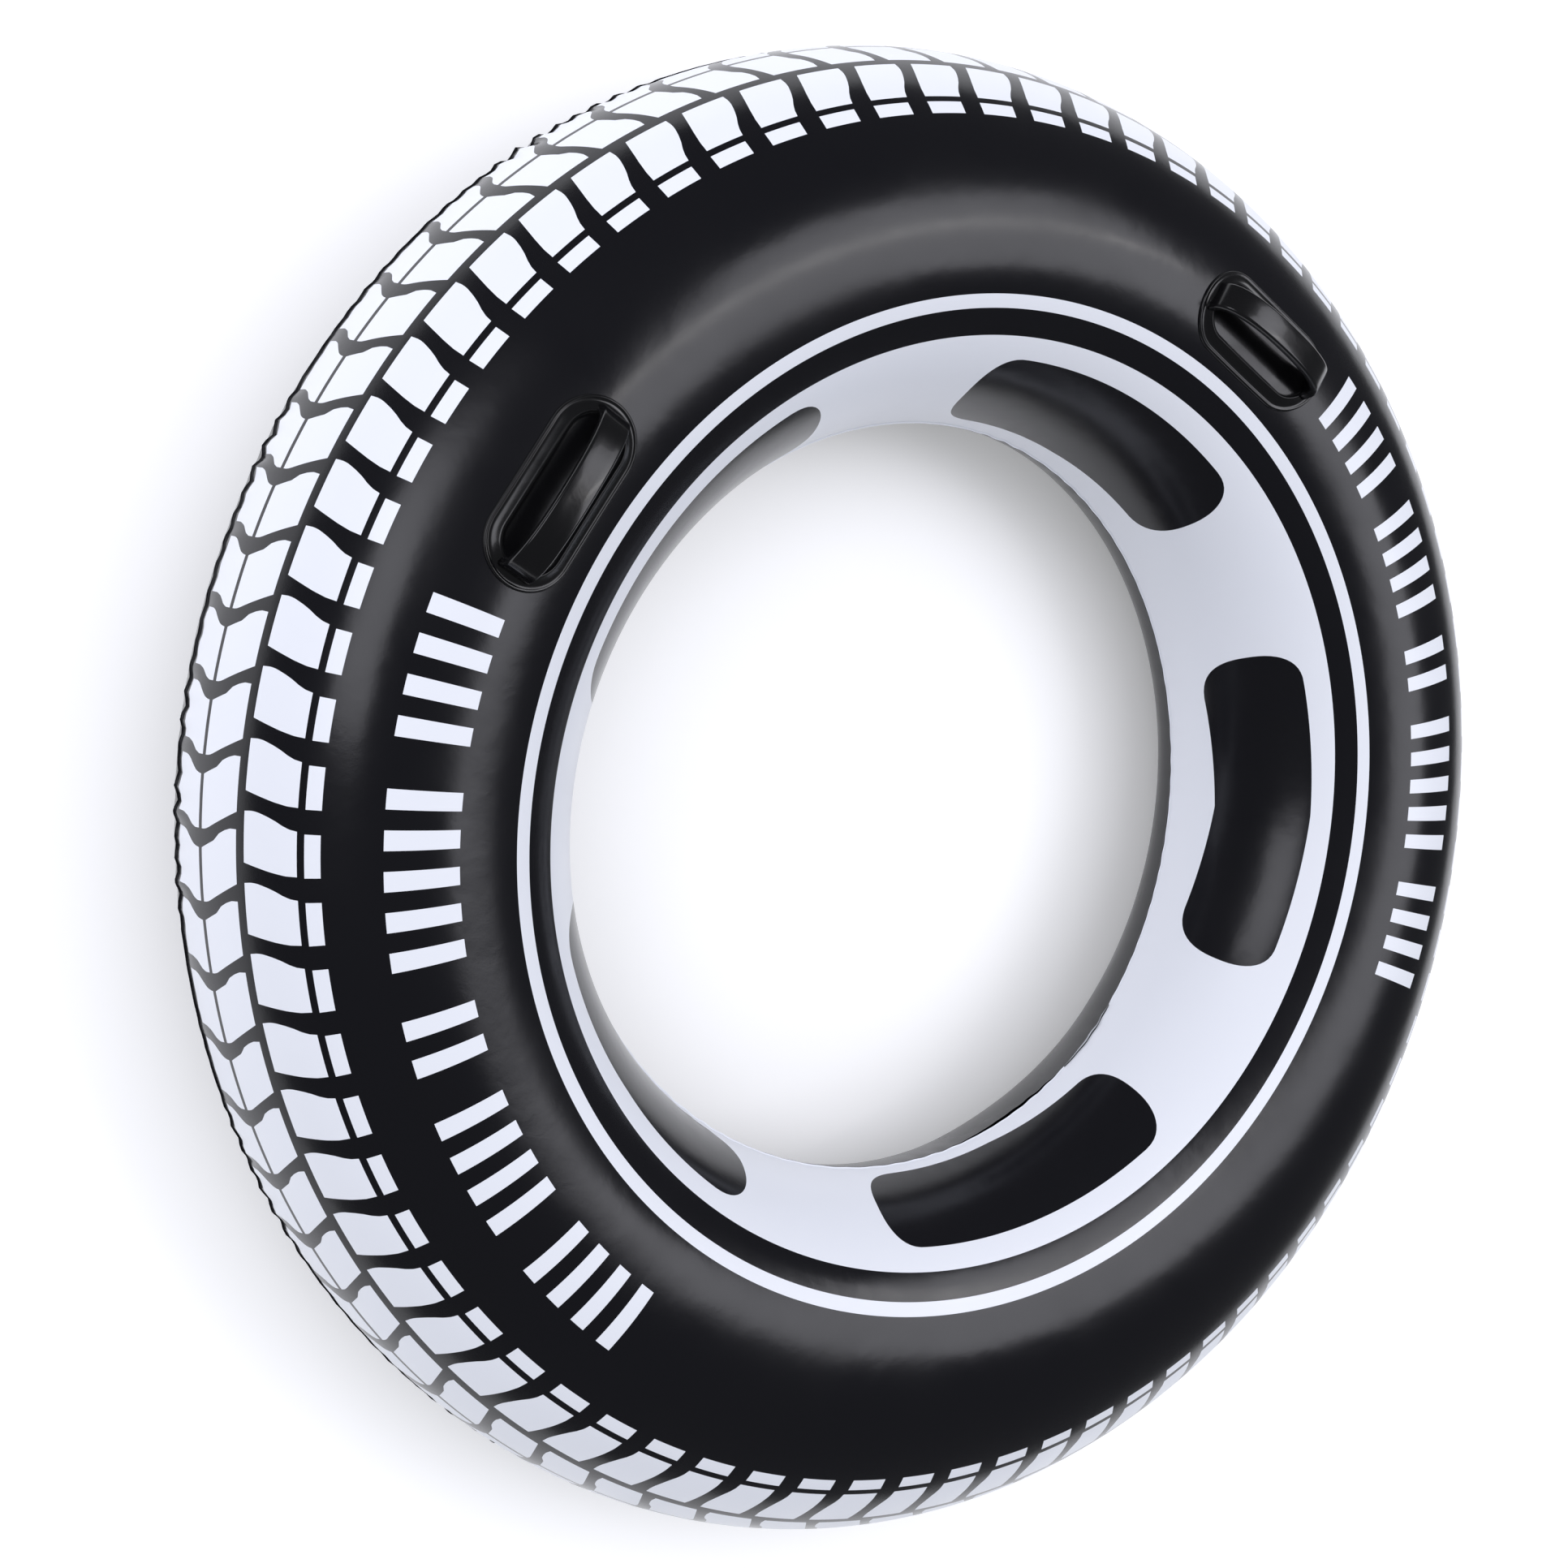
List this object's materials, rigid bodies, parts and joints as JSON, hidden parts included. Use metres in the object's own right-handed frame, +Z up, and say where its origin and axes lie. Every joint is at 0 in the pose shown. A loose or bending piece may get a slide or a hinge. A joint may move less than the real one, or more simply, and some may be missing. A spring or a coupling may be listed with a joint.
{
  "type": "inflatable swim ring",
  "caption": "Inflatable ring printed like a car tyre, with two moulded grab handles on its upper face and a push-in air valve underneath.",
  "frame": {"origin": "on the ring's axis, at the height of the surface it rests on", "axes": "+Z up along the ring's axis, towards the printed face; +Y towards the point midway between the two handles"},
  "size_m": [1.19, 1.19, 0.2881],
  "materials": {
    "printed_vinyl": "glossy soft vinyl film, black with a white tyre print",
    "black_vinyl": "glossy soft vinyl film, plain black",
    "moulded_vinyl": "high-gloss moulded vinyl, black",
    "valve_vinyl": "soft translucent vinyl"
  },
  "bodies": {
    "ring": {"front_sheet": "printed_vinyl", "back_sheet": "black_vinyl", "left_handle": "moulded_vinyl", "right_handle": "moulded_vinyl", "valve_flange": "valve_vinyl", "valve_sleeve": "valve_vinyl", "valve_tether": "valve_vinyl"},
    "neck": {"valve_neck": "valve_vinyl"},
    "plug": {"valve_plug": "valve_vinyl"},
    "flap": {"valve_flap": "valve_vinyl"}
  },
  "joints": [
    {"name": "neck_pull", "type": "slide", "parent": "ring", "child": "neck", "axis": [0.1847, -0.6892, -0.7007], "range_m": [0, 0.013], "deforming": ["valve_sleeve", "valve_tether"]},
    {"name": "plug_pull", "type": "slide", "parent": "neck", "child": "plug", "axis": [0.1847, -0.6892, -0.7007], "range_m": [0, 0.012], "deforming": ["valve_tether"]},
    {"name": "flap_swing", "type": "hinge", "parent": "neck", "child": "flap", "pos_m": [0.14201, -0.52998, 0.05578], "axis": [0.9659, 0.2588, 0], "range_deg": [0, 60], "stiffness_Nm_per_rad": 0.0005}
  ]
}
